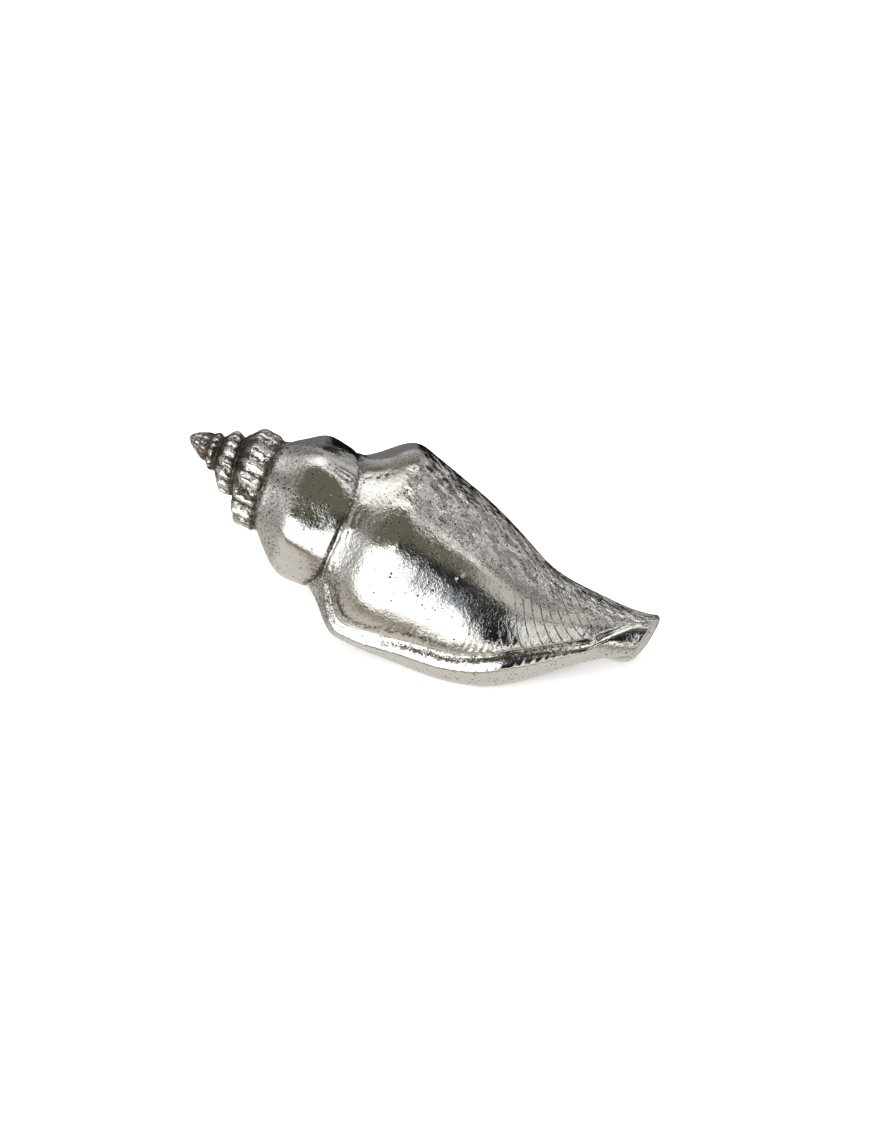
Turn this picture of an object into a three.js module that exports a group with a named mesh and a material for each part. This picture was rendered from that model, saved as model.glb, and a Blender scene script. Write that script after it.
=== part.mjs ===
// A conch shell cast in one piece of white metal, lying on its opening: apex at -X, canal at +X, lip at -Y.
// It is one closed skin: rings round the coiling axis, each running from the lip's edge round the whorl,
// in through the opening, round the cavity inside the lip and back to the edge.
import * as THREE from 'three';

// Coiling axis. Stations are millimetres along it from the apex; angles are degrees round it.
const LENGTH = 90;
const APEX_LIFT = 13;
const AXIS_HEIGHT = 14;
const AXIS_MIDDLE = 36;

// The spiral: by whorls counted back from the lip, [whorls, mm].
const SUTURE = [
  [-1, 62], [-0.5, 47], [0, 31], [0.12, 33.4], [0.25, 33.4], [0.38, 31], [0.5, 27.6], [0.75, 22.8],
  [1, 18.4], [1.25, 16.8], [1.5, 15.4], [2, 12], [2.5, 8.8], [3, 6.8], [3.5, 5.5], [4, 4.4],
  [5, 2.6], [6, 1.5], [7, 0.9], [9, 0.3],
];
const SHOULDER_RADIUS = [
  [-1, 25], [0, 17.8], [0.25, 17.4], [0.5, 17.9], [0.75, 15.6], [1, 13.9], [1.5, 11.6], [2, 9.3],
  [2.5, 7.4], [3, 5.85], [3.5, 4.7], [4, 3.7], [5, 2.4], [6, 1.6], [7, 1], [9, 0.4],
];
// How far from one suture to the next the shoulder stands, [whorls, share].
const SHOULDER_AT = [
  [-1, 0.4], [0, 0.4], [0.5, 0.46], [1, 0.53], [1.5, 0.52], [2, 0.42], [2.5, 0.48], [3, 0.55],
  [4, 0.62], [9, 0.66],
];
const WHORLS = 9;
const LAST_WHORL_GROWTH = 1.72;
const SIDE_DIP = 0.015;

// The last whorl narrows from its shoulder to the canal: [share of the way, share of the radius].
const TAPER_BACK = [
  [-0.05, 1], [0, 1], [0.1, 0.95], [0.24, 0.87], [0.36, 0.775], [0.477, 0.654], [0.557, 0.564],
  [0.635, 0.478], [0.713, 0.44], [0.79, 0.37], [0.87, 0.295], [0.948, 0.24], [1, 0.23],
];
const TAPER_LIP = [
  [-0.05, 1], [0, 1], [0.105, 1], [0.19, 0.955], [0.274, 0.938], [0.358, 0.915], [0.441, 0.86],
  [0.527, 0.775], [0.61, 0.67], [0.652, 0.575], [0.694, 0.475], [0.777, 0.32], [0.861, 0.2],
  [0.92, 0.19], [1, 0.19],
];

// The canal turns up and back.
const BEND = { from: 66, length: 22, rise: 6.4, power: 1.6, towards: 135 };

// Ribs on the upper whorls and low knobs on the one before last.
const RIBS = { perTurn: 16, height: 0.085, firstAt: 2.02 };
const KNOBS = { perTurn: 5.5, height: 0.03, firstAt: 1.53 };

// The lip: its edge angle, the groove that sets off its rolled rim, and its wall.
const LIP_ANGLE = -36;
const LIP_FROM = 31;
const EDGE_UP = [[31, 0], [48, 0], [55, 0.2], [60, 0.9], [66, 2], [69, 1.4], [73, 0], [90, 0]];
const GROOVE_AT = [
  [30, 45], [33, 42], [35.4, 36], [38, 25], [40.2, 21], [43.4, 22.5], [48, 28], [51.2, 31],
  [59.7, 36.5], [64, 42], [69.6, 53], [75.8, 61], [79.9, 70], [81.7, 86], [84, 112], [86.5, 145],
  [90, 170],
];
const ROLL = 1.5;
const WALL = 4.2;
const NOSE = 2.6;
const NOSE_SHARE = 0.45;

// The opening, the cavity inside it, and the lobe at the end of the columella.
const OPENING = 34;
const CAVITY_DEPTH = 110;
const LOBE = { height: 2.2, at: 86.5, length: 4, width: 26 };

// Rounding at both ends.
const APEX = { slope: 0.54, radius: 0.9, rounding: 1.3, from: 2.5, to: 6 };
const TIP = { from: 87.4, length: 1.6, power: 2.6, radius: 1.8, angle: 110 };

// Mesh columns: the rim, the whorl, the columella side, the cavity's end, the lip's inside.
const COLUMNS = { rim: 8, whorl: 52, columella: 8, end: 3, inside: 8 };

const clamp = (x, low, high) => Math.min(Math.max(x, low), high);
const radians = (degrees) => (degrees * Math.PI) / 180;
const bell = (x) => Math.exp(-x * x);
const mix = (a, b, share) => a + (b - a) * share;

/** Smooth step from 0 at a to 1 at b. */
function smooth(a, b, x) {
  const t = clamp((x - a) / (b - a), 0, 1);
  return t * t * (3 - 2 * t);
}

/** Height of the smooth curve through the [x, y] points, which never overshoots them. */
function through(points, x) {
  const last = points.length - 1;
  const chord = (k) => (points[k + 1][1] - points[k][1]) / (points[k + 1][0] - points[k][0]);
  const tangent = (k) => {
    if (k === 0) return chord(0);
    if (k === last) return chord(last - 1);
    const [before, after] = [chord(k - 1), chord(k)];
    if (before * after <= 0) return 0;
    const [left, right] = [points[k][0] - points[k - 1][0], points[k + 1][0] - points[k][0]];
    const [w1, w2] = [2 * right + left, right + 2 * left];
    return (w1 + w2) / (w1 / before + w2 / after);
  };
  const at = clamp(x, points[0][0], points[last][0]);
  let i = 0;
  while (i < last - 1 && at >= points[i + 1][0]) i += 1;
  const gap = points[i + 1][0] - points[i][0];
  const t = (at - points[i][0]) / gap;
  const [t2, t3] = [t * t, t * t * t];
  return (
    (2 * t3 - 3 * t2 + 1) * points[i][1] +
    (t3 - 2 * t2 + t) * gap * tangent(i) +
    (3 * t2 - 2 * t3) * points[i + 1][1] +
    (t3 - t2) * gap * tangent(i + 1)
  );
}

const logs = (points) => points.map(([x, y]) => [x, Math.log(y)]);
const SUTURE_LOG = logs(SUTURE);
const SHOULDER_LOG = logs(SHOULDER_RADIUS);
const suture = (whorl) => Math.exp(through(SUTURE_LOG, whorl));
const shoulder = (whorl) => Math.exp(through(SHOULDER_LOG, whorl));

/** Radius of the last whorl beyond its shoulder, at a share of the way to the canal's end. */
function taper(share, turn) {
  const lipward = smooth(0.45, 0, turn);
  return mix(through(TAPER_BACK, share), through(TAPER_LIP, share), lipward);
}

/** Where the shoulder of the last whorl stands, and the share of the way from it to the end. */
function lastWhorl(station, turn) {
  const start = suture(turn);
  const from = start * (1 + through(SHOULDER_AT, turn) * (LAST_WHORL_GROWTH - 1));
  return { from, share: clamp((station - from) / (LENGTH - from), 0, 1) };
}

/** Radius of the whorl that shows at a station and a turn (0 to 1) back from the lip. */
function whorlRadius(station, turn) {
  for (let n = 0; n < WHORLS; n += 1) {
    const whorl = turn + n;
    const start = suture(whorl);
    if (station < start && n < WHORLS - 1) continue;
    const end = n > 0 ? suture(whorl - 1) : start * LAST_WHORL_GROWTH;
    const across = (station - start) / (end - start);
    const peak = through(SHOULDER_AT, whorl);
    const radius = shoulder(whorl);
    const last = lastWhorl(station, turn);
    if (n === 0 && station > last.from) return radius * taper(last.share, turn);
    let profile = radius * (1 - SIDE_DIP * clamp((across - peak) / (1 - peak), 0, 1) ** 2);
    if (across < peak) {
      const t = clamp(across / peak, 0, 1);
      const climb = 0.35 * (1 - (1 - t) ** 2) + 0.65 * smooth(0, 1, t);
      profile = mix((1 - SIDE_DIP) * shoulder(whorl + 1), radius, climb);
    }
    return profile * relief(whorl, across);
  }
  return 0;
}

/** Ribs and knobs, as a factor on the radius. */
function relief(whorl, across) {
  const ribWave = Math.cos(2 * Math.PI * RIBS.perTurn * (whorl - RIBS.firstAt));
  const rib = (0.5 + 0.5 * ribWave) ** 1.5 - 0.35;
  const ribbed = smooth(1.75, 2.05, whorl) * smooth(4.6, 3.8, whorl);
  const ribSpan = smooth(0.05, 0.3, across) * smooth(1.02, 0.85, across);
  const knob = Math.cos(2 * Math.PI * KNOBS.perTurn * (whorl - KNOBS.firstAt));
  const knobbed = smooth(0.85, 1.05, whorl) * smooth(2, 1.75, whorl);
  const knobSpan = smooth(0.15, 0.5, across) * smooth(1, 0.7, across);
  return 1 + RIBS.height * rib * ribbed * ribSpan + KNOBS.height * knob * knobbed * knobSpan;
}

const lipFree = (station) => smooth(LIP_FROM + 1.5, LIP_FROM + 10, station);
const rollAt = (station) =>
  ROLL * (1 - 0.5 * smooth(75, 88, station)) * smooth(LIP_FROM + 0.5, LIP_FROM + 9, station);
const wallAt = (station) => WALL * (1 - 0.6 * smooth(66, 82, station));

/** Radius of the skin outside, with the rim rolled up below the groove and the blunt apex. */
function outerRadius(station, angle) {
  let radius = whorlRadius(station, angle / 360);
  radius += rollAt(station) * smooth(0.99, 0.62, angle / through(GROOVE_AT, station));
  const cone = APEX.slope * station + APEX.radius;
  radius = mix(cone, radius, smooth(APEX.from, APEX.to, station));
  return radius * Math.sqrt(1 - (1 - clamp(station / APEX.rounding, 0, 1)) ** 2);
}

/** How much the rim's rounded edge leaves: 0 at the edge, 1 from the nose's length on. */
function nose(angle, edge, radius) {
  const share = clamp((radians(angle - edge) * radius) / NOSE, 0, 1);
  return Math.sqrt(1 - (1 - share) ** 2);
}

/** Extra height of the lobe at the end of the columella. */
const lobe = (station, degreesOff) =>
  LOBE.height * bell((station - LOBE.at) / LOBE.length) * bell(degreesOff / LOBE.width);

/** Radius of the columella side of the cavity: the whorl carried on inside, cut back at the canal. */
function columellaRadius(station, angle) {
  const turn = angle / 360;
  const { share } = lastWhorl(station, turn);
  const inward = smooth(0, 0.35, (angle - 360 + OPENING) / (OPENING + CAVITY_DEPTH));
  const cut = (0.6 + 1.5 * smooth(68, 82, station)) * inward;
  const body = shoulder(turn) * taper(share, Math.min(turn, 1));
  return body - cut + lobe(station, angle - 360 + OPENING);
}

/** Radius of the lip's inside. */
function insideRadius(station, angle, edge, depth) {
  const outside = whorlRadius(station, angle / 360) + rollAt(station) * smooth(27, 0, angle);
  const thinning = 1 - 0.35 * smooth(0, 1, (angle - edge) / (depth - edge));
  const round = mix(NOSE_SHARE, 1, nose(angle, edge, outside));
  const wall = Math.min(wallAt(station) * round * thinning, 0.55 * outside);
  return Math.max(outside - wall, columellaRadius(station, 360 + depth) + 1);
}

/** [angle, radius] of every column of the ring at a station. */
function ring(station) {
  const free = lipFree(station);
  const edge = through(EDGE_UP, station) * free;
  const groove = through(GROOVE_AT, station);
  const back = 360 - OPENING;
  const depth = CAVITY_DEPTH * (1 - 0.5 * smooth(60, 84, station));
  const columns = [];
  const outside = (angle) => {
    const radius = outerRadius(station, angle);
    const cut = free * NOSE_SHARE * wallAt(station) * (1 - nose(angle, edge, radius));
    columns.push([angle, radius - cut + lobe(station, angle - back)]);
  };
  for (let i = 0; i < COLUMNS.rim; i += 1) outside(mix(edge, groove, i / COLUMNS.rim));
  for (let i = 0; i <= COLUMNS.whorl; i += 1) outside(mix(groove, back, i / COLUMNS.whorl));

  const cavity = [];
  for (let i = 1; i <= COLUMNS.columella; i += 1) {
    const angle = mix(back, 360 + depth, i / COLUMNS.columella);
    cavity.push([angle, columellaRadius(station, angle)]);
  }
  const foot = columellaRadius(station, 360 + depth);
  const roof = insideRadius(station, depth, edge, depth);
  for (let i = 1; i < COLUMNS.end; i += 1) {
    const share = i / COLUMNS.end;
    cavity.push([360 + depth + 6 * Math.sin(Math.PI * share), mix(foot, roof, share)]);
  }
  for (let i = 0; i < COLUMNS.inside; i += 1) {
    const angle = mix(depth, edge, i / COLUMNS.inside);
    cavity.push([360 + angle, insideRadius(station, angle, edge, depth)]);
  }
  const [lipRadius, endRadius] = [columns[0][1], outerRadius(station, 360)];
  cavity.forEach(([angle, radius], i) => {
    const share = (i + 1) / (cavity.length + 1);
    const skinAngle = mix(back, 360 + edge, share);
    const step = (lipRadius - endRadius) * smooth(0.45, 1, share);
    const skin = outerRadius(station, skinAngle) + step;
    columns.push([mix(skinAngle, angle, free), mix(skin, Math.max(radius, 0.6), free)]);
  });
  return columns;
}

/** A point given along the axis, sideways to the lip and up, turned into the part's frame. */
function place(station, side, up) {
  const lift = radians(APEX_LIFT);
  const along = station - AXIS_MIDDLE;
  const x = along * Math.cos(lift) + up * Math.sin(lift);
  const z = up * Math.cos(lift) - along * Math.sin(lift) + AXIS_HEIGHT;
  return [x, -side, Math.max(z, 0)];
}

/** Centre of the bent canal at a station, moved out into its wall by a radius and an angle. */
function centre(station, radius = 0, angle = 0) {
  const rise = BEND.rise * clamp((station - BEND.from) / BEND.length, 0, 2) ** BEND.power;
  const towards = radians(BEND.towards);
  const side = rise * Math.cos(towards) + radius * Math.cos(radians(angle));
  const up = rise * Math.sin(towards) + radius * Math.sin(radians(angle));
  return [side, up];
}

/** The stations of the rings: close together on the spire, at the lip's corner and at the tip. */
function stations() {
  const list = [0.12, 0.4, 0.85, 1.4];
  while (list.at(-1) < LENGTH - 4.5) {
    const at = list.at(-1);
    list.push(at + (at < LIP_FROM ? 0.26 + 0.052 * at : 1.9 - 0.9 * bell((at - 35) / 4)));
  }
  list.push(TIP.from, ...[0.35, 0.65, 0.85, 0.96].map((share) => mix(TIP.from, LENGTH, share)));
  return list;
}

/** The whole skin as one closed indexed geometry. */
function shellGeometry() {
  const points = [place(0, 0, 0)];
  const rows = stations();
  for (const station of rows) {
    const share = clamp((station - TIP.from) / (LENGTH - TIP.from), 0, 1);
    const shrink = (1 - share ** TIP.power) ** (1 / TIP.power);
    const along = Math.min(station, TIP.from) + share * TIP.length;
    const [endSide, endUp] = centre(station, TIP.radius, TIP.angle);
    const [midSide, midUp] = centre(station);
    for (const [angle, radius] of ring(station)) {
      const theta = radians(LIP_ANGLE + angle);
      const side = midSide + radius * Math.cos(theta);
      const up = midUp + radius * Math.sin(theta);
      points.push(place(along, mix(endSide, side, shrink), mix(endUp, up, shrink)));
    }
  }
  points.push(place(TIP.from + TIP.length, ...centre(LENGTH, TIP.radius, TIP.angle)));

  const width = (points.length - 2) / rows.length;
  const faces = [];
  const at = (row, column) => 1 + row * width + (column % width);
  for (let j = 0; j < width; j += 1) {
    faces.push(0, at(0, j), at(0, j + 1));
    for (let i = 0; i < rows.length - 1; i += 1) {
      faces.push(at(i, j), at(i + 1, j), at(i + 1, j + 1));
      faces.push(at(i, j), at(i + 1, j + 1), at(i, j + 1));
    }
    faces.push(points.length - 1, at(rows.length - 1, j + 1), at(rows.length - 1, j));
  }
  const geometry = new THREE.BufferGeometry();
  geometry.setAttribute('position', new THREE.Float32BufferAttribute(points.flat(), 3));
  geometry.setIndex(faces);
  geometry.computeBoundingBox();
  const middle = geometry.boundingBox.getCenter(new THREE.Vector3());
  geometry.translate(-middle.x, -middle.y, 0);
  geometry.computeVertexNormals();
  return geometry;
}

const pewter = new THREE.MeshStandardMaterial({ color: 0xc2bfb6, roughness: 0.22, metalness: 1 });

const conchShell = new THREE.Mesh(shellGeometry(), pewter);
conchShell.name = 'conch_shell';

const part = new THREE.Group();
part.name = 'conch_shell_part';
part.add(conchShell);

export default part;
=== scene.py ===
"""The conch shell's looks: a fine cast surface in polished white metal, on a pale floor under soft lights.

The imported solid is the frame. One piece, worked out on a grid round the coiling axis, stands in for it.
Sizes of the shell are in millimetres and degrees until the mesh is made, and in metres from there on.
"""

import logging
import math
from dataclasses import dataclass, field
from enum import Enum

import bpy
import numpy as np
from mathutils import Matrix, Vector


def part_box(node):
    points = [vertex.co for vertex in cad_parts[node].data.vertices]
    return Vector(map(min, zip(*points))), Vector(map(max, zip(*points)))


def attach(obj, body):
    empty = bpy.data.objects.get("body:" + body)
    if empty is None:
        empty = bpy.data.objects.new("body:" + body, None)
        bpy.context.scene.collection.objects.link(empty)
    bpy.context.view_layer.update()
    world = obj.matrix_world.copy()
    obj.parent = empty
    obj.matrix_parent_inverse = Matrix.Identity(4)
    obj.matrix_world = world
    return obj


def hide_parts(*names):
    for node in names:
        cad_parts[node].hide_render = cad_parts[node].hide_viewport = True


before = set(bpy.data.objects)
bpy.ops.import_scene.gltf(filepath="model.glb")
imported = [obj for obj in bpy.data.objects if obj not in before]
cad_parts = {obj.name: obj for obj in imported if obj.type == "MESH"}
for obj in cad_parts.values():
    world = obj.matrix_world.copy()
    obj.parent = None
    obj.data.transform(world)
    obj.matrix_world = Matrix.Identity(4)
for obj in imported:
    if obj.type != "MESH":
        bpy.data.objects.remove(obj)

Array = np.ndarray
LOG = logging.getLogger("conch")
MM = 0.001
FULL_TURN = 360.0
DECIMETRE = 100.0
NODE = "conch_shell"
EVENING = (0.12, 0.23, 0.30, 0.23, 0.12)
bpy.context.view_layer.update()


# ---------------------------------------------------------------- curves and steps


def smooth(a: float, b: float, x: Array) -> Array:
    """Smooth step: 0 at a, 1 at b, with level ends (3t^2 - 2t^3 of the share t)."""
    t = np.clip((x - a) / (b - a), 0.0, 1.0)
    return t * t * (3.0 - 2.0 * t)


def bell(x: Array) -> Array:
    """Gaussian bump: e to the minus x squared."""
    return np.exp(-np.square(x))


def mix(a: Array, b: Array, share: Array) -> Array:
    """Straight blend from a to b."""
    return a + (b - a) * share


@dataclass(frozen=True)
class Curve:
    """A smooth curve through points that never overshoots them.

    Between two points it is the cubic whose end slopes are the harmonic means of the neighbouring
    chords' slopes, or level where the chords turn.
    """

    points: tuple[tuple[float, float], ...]
    logarithmic: bool = False

    def __call__(self, x: Array) -> Array:
        """Height of the curve at x.

        Args:
            x: places along the curve, held between its ends.

        Returns:
            An array shaped as x.
        """
        px, py = np.array(self.points, float).T
        if self.logarithmic:
            py = np.log(py)
        gap = np.diff(px)
        chord = np.diff(py) / gap
        slope = np.concatenate([chord[:1], np.zeros(len(px) - 2), chord[-1:]])
        before, after = chord[:-1], chord[1:]
        w1, w2 = 2.0 * gap[1:] + gap[:-1], gap[1:] + 2.0 * gap[:-1]
        same = before * after > 0.0
        safe_before, safe_after = np.where(same, before, 1.0), np.where(same, after, 1.0)
        slope[1:-1] = np.where(same, (w1 + w2) / (w1 / safe_before + w2 / safe_after), 0.0)
        x = np.clip(x, px[0], px[-1])
        i = np.clip(np.searchsorted(px, x, side="right") - 1, 0, len(gap) - 1)
        t = (x - px[i]) / gap[i]
        t2, t3 = t * t, t * t * t
        y = (2.0 * t3 - 3.0 * t2 + 1.0) * py[i] + (t3 - 2.0 * t2 + t) * gap[i] * slope[i]
        y = y + (3.0 * t2 - 2.0 * t3) * py[i + 1] + (t3 - t2) * gap[i] * slope[i + 1]
        return np.exp(y) if self.logarithmic else y


@dataclass(frozen=True)
class Window:
    """Where something is: it comes in over two places and goes out over two more."""

    comes_in: tuple[float, float]
    goes_out: tuple[float, float]

    def __call__(self, x: Array) -> Array:
        """Share at x: a smooth step up times a smooth step down."""
        return smooth(*self.comes_in, x) * smooth(*reversed(self.goes_out), x)


def waves(where: Array, wavelength: float, count: int, seed: int, stretch: tuple[float, ...]) -> Array:
    """Seeded sum of plane waves of about one wavelength, with a mean square of one half.

    Each wave is the cosine of the place measured along its own random direction, at a wavelength
    drawn within a third of the one asked for, with a random phase.

    Args:
        where: points, with the coordinates last.
        wavelength: middle wavelength, in the unit of the points.
        count: number of waves.
        seed: seed of the draws.
        stretch: factor on the wavelength along each coordinate.

    Returns:
        One height per point.
    """
    draw = np.random.default_rng(seed)
    size = where.shape[-1]
    direction = draw.normal(size=(count, size))
    direction /= np.linalg.norm(direction, axis=1, keepdims=True)
    rate = 2.0 * math.pi / (wavelength * draw.uniform(0.67, 1.33, count))
    phase = draw.uniform(0.0, 2.0 * math.pi, count)
    scaled = where / np.array(stretch)
    height = np.zeros(where.shape[:-1])
    for k in range(count):
        height += np.cos(scaled @ direction[k] * rate[k] + phase[k])
    return height / math.sqrt(count)


# ---------------------------------------------------------------- the shell's form


@dataclass(frozen=True)
class Grid:
    """How many columns go round a ring, and how close its rings stand."""

    rim: int = 27
    whorl: int = 130
    columella: int = 20
    end: int = 6
    inside: int = 23
    spire_gap: float = 0.05
    spire_growth: float = 0.0077
    body_gap: float = 0.262
    tip_rings: int = 12


@dataclass(frozen=True)
class Form:
    """The conch's driving sizes: the solid's, with a firmer shoulder in front and a rounder one behind."""

    length: float = 90.0
    apex_lift: float = 13.0
    axis_height: float = 14.0
    axis_middle: float = 36.0
    suture: Curve = Curve(
        (
            (-1, 62), (-0.5, 47), (0, 31), (0.12, 33.4), (0.25, 33.4), (0.38, 31), (0.5, 27.6),
            (0.75, 22.8), (1, 18.4), (1.25, 16.8), (1.5, 15.4), (2, 12), (2.5, 8.8), (3, 6.8),
            (3.5, 5.5), (4, 4.4), (5, 2.6), (6, 1.5), (7, 0.9), (9, 0.3),
        ),
        True,
    )
    shoulder: Curve = Curve(
        (
            (-1, 25), (0, 17.8), (0.25, 17.4), (0.5, 17.9), (0.75, 15.6), (1, 13.9), (1.5, 11.6),
            (2, 9.3), (2.5, 7.4), (3, 5.85), (3.5, 4.7), (4, 3.7), (5, 2.4), (6, 1.6), (7, 1),
            (9, 0.4),
        ),
        True,
    )
    shoulder_at: Curve = Curve(
        (
            (-1, 0.4), (0, 0.4), (0.5, 0.46), (1, 0.53), (1.5, 0.52), (2, 0.42), (2.5, 0.48),
            (3, 0.55), (4, 0.62), (9, 0.66),
        )
    )
    whorls: int = 9
    last_growth: float = 1.72
    side_dip: float = 0.015
    firmness: float = 0.65
    shoulder_spread: tuple[float, ...] = (-0.44, -0.22, 0.0, 0.22, 0.44)
    upper_whorl: Window = Window((0.95, 1.0), (1.9, 2.0))
    upper_front: Window = Window((1.03, 1.10), (1.32, 1.42))
    last_front: Window = Window((0.2, 0.29), (0.42, 0.47))
    last_back: Window = Window((0.40, 0.47), (0.75, 0.95))
    far_part: Window = Window((0.38, 0.46), (0.62, 0.78))
    taper_spread: tuple[float, ...] = (-0.09, -0.045, 0.0, 0.045, 0.09)
    taper_back: Curve = Curve(
        (
            (-0.05, 1), (0, 1), (0.1, 0.95), (0.24, 0.87), (0.36, 0.775), (0.477, 0.654),
            (0.557, 0.564), (0.635, 0.478), (0.713, 0.44), (0.79, 0.37), (0.87, 0.295),
            (0.948, 0.24), (1, 0.23),
        )
    )
    taper_lip: Curve = Curve(
        (
            (-0.05, 1), (0, 1), (0.105, 1), (0.19, 0.955), (0.274, 0.938), (0.358, 0.915),
            (0.441, 0.86), (0.527, 0.775), (0.61, 0.67), (0.652, 0.575), (0.694, 0.475),
            (0.777, 0.32), (0.861, 0.2), (0.92, 0.19), (1, 0.19),
        )
    )
    bend_from: float = 66.0
    bend_length: float = 22.0
    bend_rise: float = 6.4
    bend_power: float = 1.6
    bend_towards: float = 135.0
    lip_angle: float = -36.0
    lip_from: float = 31.0
    edge_up: Curve = Curve(
        ((31, 0), (48, 0), (55, 0.2), (60, 0.9), (66, 2), (69, 1.4), (73, 0), (90, 0))
    )
    groove_at: Curve = Curve(
        (
            (30, 45), (33, 42), (35.4, 36), (38, 25), (40.2, 21), (43.4, 22.5), (48, 28),
            (51.2, 31), (59.7, 36.5), (64, 42), (69.6, 53), (75.8, 61), (79.9, 70), (81.7, 86),
            (84, 112), (86.5, 145), (90, 170),
        )
    )
    roll: float = 1.5
    wall: float = 4.2
    nose: float = 2.6
    nose_share: float = 0.45
    opening: float = 34.0
    cavity_depth: float = 110.0
    lobe_height: float = 2.2
    lobe_at: float = 86.5
    lobe_length: float = 4.0
    lobe_width: float = 26.0
    tip_from: float = 87.4
    tip_length: float = 1.6
    tip_power: float = 2.6
    tip_radius: float = 1.8
    tip_angle: float = 110.0

    def taper(self, share: Array, turn: Array) -> Array:
        """Radius left of the last whorl on its way to the canal.

        Args:
            share: share of the way from the shoulder to the canal's end.
            turn: turns back from the lip.

        Returns:
            The share of the shoulder's radius that is left.
        """
        even = smooth(0.0, 0.14, share)
        back = sum(w * self.taper_back(share + d) for w, d in zip(EVENING, self.taper_spread))
        lip = sum(w * self.taper_lip(share + d) for w, d in zip(EVENING, self.taper_spread))
        back, lip = mix(self.taper_back(share), back, even), mix(self.taper_lip(share), lip, even)
        return mix(back, lip, smooth(0.45, 0.0, turn))

    def last_whorl(self, station: Array, turn: Array) -> tuple[Array, Array]:
        """Where the last whorl's shoulder is, and how far past it a station lies.

        Args:
            station: millimetres along the axis.
            turn: turns back from the lip.

        Returns:
            The shoulder's station, and the share of the way from it to the canal's end.
        """
        start = self.suture(turn)
        begin = start * (1.0 + self.shoulder_at(turn) * (self.last_growth - 1.0))
        return begin, np.clip((station - begin) / (self.length - begin), 0.0, 1.0)

    def climb(self, t: Array, whorl: Array) -> Array:
        """How far the radius has climbed from the suture to the shoulder.

        The climb is part parabola and part smooth step, straighter with a firmer shoulder on the
        front of the last two whorls, and averaged over the shoulder on their far side.

        Args:
            t: share of the way to the shoulder, more than 1 past it.
            whorl: whorl counted back from the lip.

        Returns:
            The share climbed, 0 to 1.
        """
        upper, front = self.upper_whorl(whorl), self.upper_front(whorl)
        firm = self.firmness * (upper * front + self.last_front(whorl))
        soft = (upper * (1.0 - 0.8 * front) + 0.5 * self.last_back(whorl)) * smooth(0.0, 0.4, t)
        far = self.far_part(np.mod(whorl, 1.0)) * smooth(1.9, 1.8, whorl)
        total = 0.0 * t
        for weight, off in zip(EVENING, self.shoulder_spread):
            at = np.clip(t + off * soft, 0.0, 1.0)
            eased = 0.35 * (1.0 - np.square(1.0 - at)) + 0.65 * smooth(0.0, 1.0, at)
            eased = mix(eased, smooth(0.12, 1.0, at), far)
            straight = (at - 0.5 * np.square(np.maximum(at - 0.6, 0.0))) / 0.92
            total = total + weight * mix(eased, straight, firm)
        return total

    def whorl(self, station: Array, turn: Array) -> tuple[Array, Array, Array, Array]:
        """The whorl that shows at each station and turn back from the lip.

        The radius climbs from the suture to the shoulder, dips a little to the next suture, and on
        the last whorl narrows to the canal.

        Args:
            station: millimetres along the axis.
            turn: turns back from the lip, 0 to 1.

        Returns:
            Radius, whorl counted back from the lip, share of the way across it, and its width.
        """
        station, turn = np.broadcast_arrays(station, turn)
        radius, across = np.zeros(station.shape), np.zeros(station.shape)
        number, width = np.zeros(station.shape), np.ones(station.shape)
        for n in reversed(range(self.whorls)):
            whorl = turn + n
            start = self.suture(whorl)
            end = self.suture(whorl - 1.0) if n else start * self.last_growth
            here = (station - start) / (end - start)
            peak, top = self.shoulder_at(whorl), self.shoulder(whorl)
            climb = self.climb(here / peak, whorl)
            dip = self.side_dip * np.square(np.clip((here - peak) / (1.0 - peak), 0.0, 1.0))
            below = mix((1.0 - self.side_dip) * self.shoulder(whorl + 1.0), top, climb)
            r = below * (1.0 - dip)
            if n == 0:
                begin, share = self.last_whorl(station, turn)
                r = np.where(station > begin, below * self.taper(share, turn), r)
            use = station >= start
            radius, across = np.where(use, r, radius), np.where(use, here, across)
            number, width = np.where(use, whorl, number), np.where(use, end - start, width)
        return radius, number, across, width

    def lip_free(self, station: Array) -> Array:
        """How far the lip stands free of the body: 0 on the spire, 1 along the opening."""
        return smooth(self.lip_from + 1.5, self.lip_from + 10.0, station)

    def roll_at(self, station: Array) -> Array:
        """How far the rolled rim stands out below the groove."""
        fade = 1.0 - 0.5 * smooth(75.0, 88.0, station)
        return self.roll * fade * smooth(self.lip_from + 0.5, self.lip_from + 9.0, station)

    def wall_at(self, station: Array) -> Array:
        """Thickness of the lip's wall."""
        return self.wall * (1.0 - 0.6 * smooth(66.0, 82.0, station))

    def rim_round(self, angle: Array, edge: Array, radius: Array) -> Array:
        """Quarter circle over the nose's length: 0 at the lip's edge, 1 from there on."""
        share = np.clip(np.radians(angle - edge) * radius / self.nose, 0.0, 1.0)
        return np.sqrt(1.0 - np.square(1.0 - share))

    def lobe(self, station: Array, off: Array) -> Array:
        """Height of the lobe at the columella's end, off degrees from its middle."""
        along = bell((station - self.lobe_at) / self.lobe_length)
        return self.lobe_height * along * bell(off / self.lobe_width)

    def columella_radius(self, station: Array, angle: Array) -> Array:
        """Radius of the cavity's columella side: the whorl carried on inside, cut back at the canal.

        Args:
            station: millimetres along the axis.
            angle: degrees back from the lip, more than a full turn inside the cavity.

        Returns:
            The radius in millimetres.
        """
        turn = angle / FULL_TURN
        _, share = self.last_whorl(station, turn)
        past = angle - FULL_TURN + self.opening
        inward = smooth(0.0, 0.35, past / (self.opening + self.cavity_depth))
        cut = (0.6 + 1.5 * smooth(68.0, 82.0, station)) * inward
        body = self.shoulder(turn) * self.taper(share, np.minimum(turn, 1.0))
        return body - cut + self.lobe(station, past)

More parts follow.
